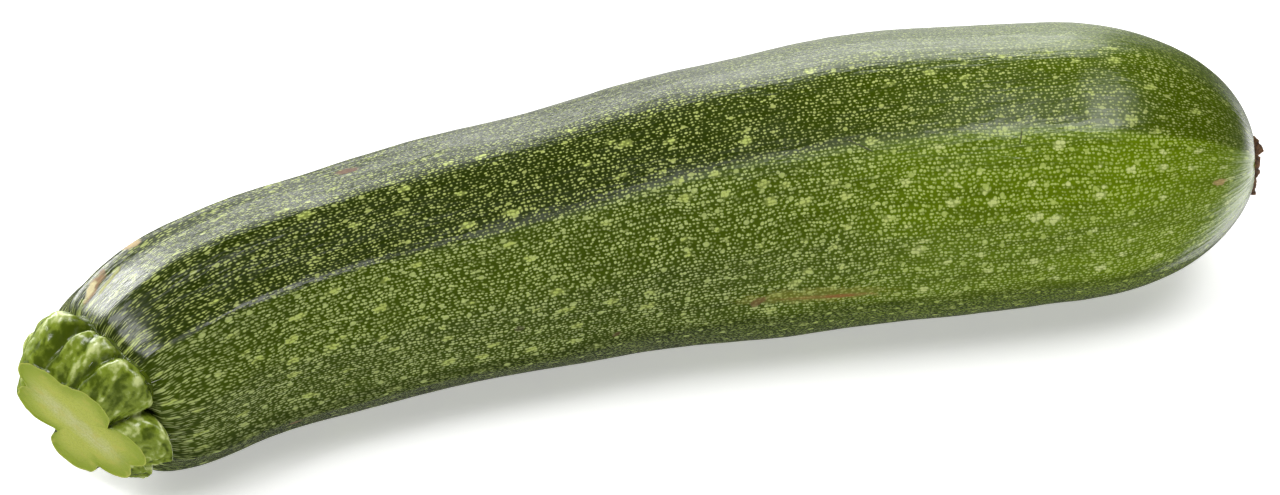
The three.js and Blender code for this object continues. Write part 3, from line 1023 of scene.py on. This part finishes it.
def crust_material():
    made, graph, shader = material("dry crust")
    position = graph.out(graph.node("ShaderNodeTexCoord"), "Object")
    pale = graph.out(graph.node("ShaderNodeAttribute", attribute_name="pale"), "Fac")
    grain = graph.noise(position, 1400, 4, 0.65)
    tone = graph.smooth(pale + 1.4 * (grain - 0.5), 0.2, 0.95)
    base = graph.blend(tone, display(58, 36, 20), display(150, 110, 72))
    graph.put(shader.inputs["Base Color"], base)
    graph.put(shader.inputs["Roughness"], 0.85)
    graph.bump(shader, grain, 0.2 * MM, 0.8)
    return made


scar = scar_mesh()
scar.materials.append(crust_material())
scar.transform(Matrix.Translation(Vector(shift)))
add_piece("courgette_scar", scar, "blossom_scar")

# ---------- Camera, light and floor ----------

CAMERA_AZIMUTH = math.radians(-15.4)
CAMERA_ELEVATION = math.radians(45)
CAMERA_DISTANCE = 0.8
CAMERA_SENSOR_MM = 36
CAMERA_LENS_MM = 147.4
AIM_HEIGHT = 20 * MM
LIGHT_DISTANCE = 1.2
FLOOR_REACH = 3

target = Vector(shift) + AIM_HEIGHT * UP
back = direction(CAMERA_AZIMUTH, CAMERA_ELEVATION)
camera_data = bpy.data.cameras.new("camera")
camera_data.sensor_width = CAMERA_SENSOR_MM
camera_data.lens = CAMERA_LENS_MM
camera = bpy.data.objects.new("camera", camera_data)
camera.location = target + CAMERA_DISTANCE * back
camera.rotation_euler = back.to_track_quat("Z", "Y").to_euler()
bpy.context.scene.collection.objects.link(camera)
bpy.context.scene.camera = camera

# Soft boxes that face the fruit: angle round from the camera's side and angle up in degrees,
# width and height in metres, and radiance.
SOFT_BOXES = {
    "side key": (-68, 58, 0.6, 0.6, 7),
    "front key": (70, 66, 0.56, 0.35, 6.6),
    "neck key": (-15, 70, 0.45, 0.34, 2.4),
    "right key": (122, 62, 0.4, 0.4, 3.2),
}

for name, (azimuth, elevation, width, height, radiance) in SOFT_BOXES.items():
    data = bpy.data.lights.new(name, "AREA")
    data.shape = "RECTANGLE"
    data.size = width
    data.size_y = height
    data.energy = radiance * math.pi * width * height
    away = direction(CAMERA_AZIMUTH + math.radians(azimuth), math.radians(elevation))
    lamp = bpy.data.objects.new(name, data)
    lamp.location = LIGHT_DISTANCE * away
    lamp.rotation_euler = away.to_track_quat("Z", "Y").to_euler()
    bpy.context.scene.collection.objects.link(lamp)

# The room that the skin mirrors, by direction: how far toward the camera's side, how far to its
# right, and how far up.
world = bpy.data.worlds.new("room")
world.use_nodes = True
room = Graph(world.node_tree)
toward = room.out(room.node("ShaderNodeTexCoord"), "Generated")
_, _, rise = room.separate(toward)
facing = room.dot(toward, direction(CAMERA_AZIMUTH, 0))
side = room.dot(toward, direction(CAMERA_AZIMUTH + math.pi / 2, 0))
behind = room.smooth(facing, 0.0, -0.3) * room.smooth(side, 0.3, 0.1)

# A table that is bright at the far end and on the right, and a dim front.
near_table = room.smooth(facing, 0.2, -0.2, 0.025, 0.09)
right_table = 2.8 * room.smooth(side, 0.33, 0.5) * room.smooth(rise, -0.26, -0.5)
right_table = right_table * room.smooth(facing, 0.15, -0.15)
far_table = behind * room.smooth(rise, -0.66, -0.4) * room.smooth(side, -0.2, -0.08, 0.15, 1)
table = room.smooth(rise, 0.02, -0.02) * (near_table + right_table + far_table)
dim_front = 0.02 * room.smooth(facing, 0.15, 0.4) * room.smooth(rise, -0.05, 0.05)

# A white backdrop behind the fruit, brightest on the left.
glow = 3.6 + 1.8 * room.smooth(rise, 0.38, 0.5) + 1.2 * room.smooth(rise, 0.22, 0.05)
glow = glow * (1 - 0.7 * room.smooth(side, -0.13, -0.18) * room.smooth(rise, 0.14, 0.22))
glow = glow + 8 * room.smooth(side, -0.33, -0.5) * room.smooth(side, -0.85, -0.7)
backdrop = behind * room.smooth(rise, -0.02, 0.03) * room.smooth(rise, 0.66, 0.52)
backdrop = backdrop * room.smooth(side, -0.95, -0.75, 0.3, 1) * glow
background = world.node_tree.nodes["Background"]
background.inputs["Color"].default_value = (1, 1, 1, 1)
room.put(background.inputs["Strength"], table + dim_front + backdrop)
bpy.context.scene.world = world
bpy.context.scene.view_settings.view_transform = "Standard"

floor_mesh = bpy.data.meshes.new("floor")
floor_mesh.from_pydata([
    (-FLOOR_REACH, -FLOOR_REACH, 0), (FLOOR_REACH, -FLOOR_REACH, 0),
    (FLOOR_REACH, FLOOR_REACH, 0), (-FLOOR_REACH, FLOOR_REACH, 0),
], [], [(0, 1, 2, 3)])
floor_material, _, floor_shader = material("pale floor")
floor_shader.inputs["Base Color"].default_value = (0.95, 0.95, 0.95, 1)
floor_shader.inputs["Roughness"].default_value = 0.8
floor_shader.inputs["Emission Color"].default_value = (1, 1, 1, 1)
floor_shader.inputs["Emission Strength"].default_value = 0.45
floor_mesh.materials.append(floor_material)
floor = bpy.data.objects.new("floor", floor_mesh)
bpy.context.scene.collection.objects.link(floor)
floor.visible_glossy = False
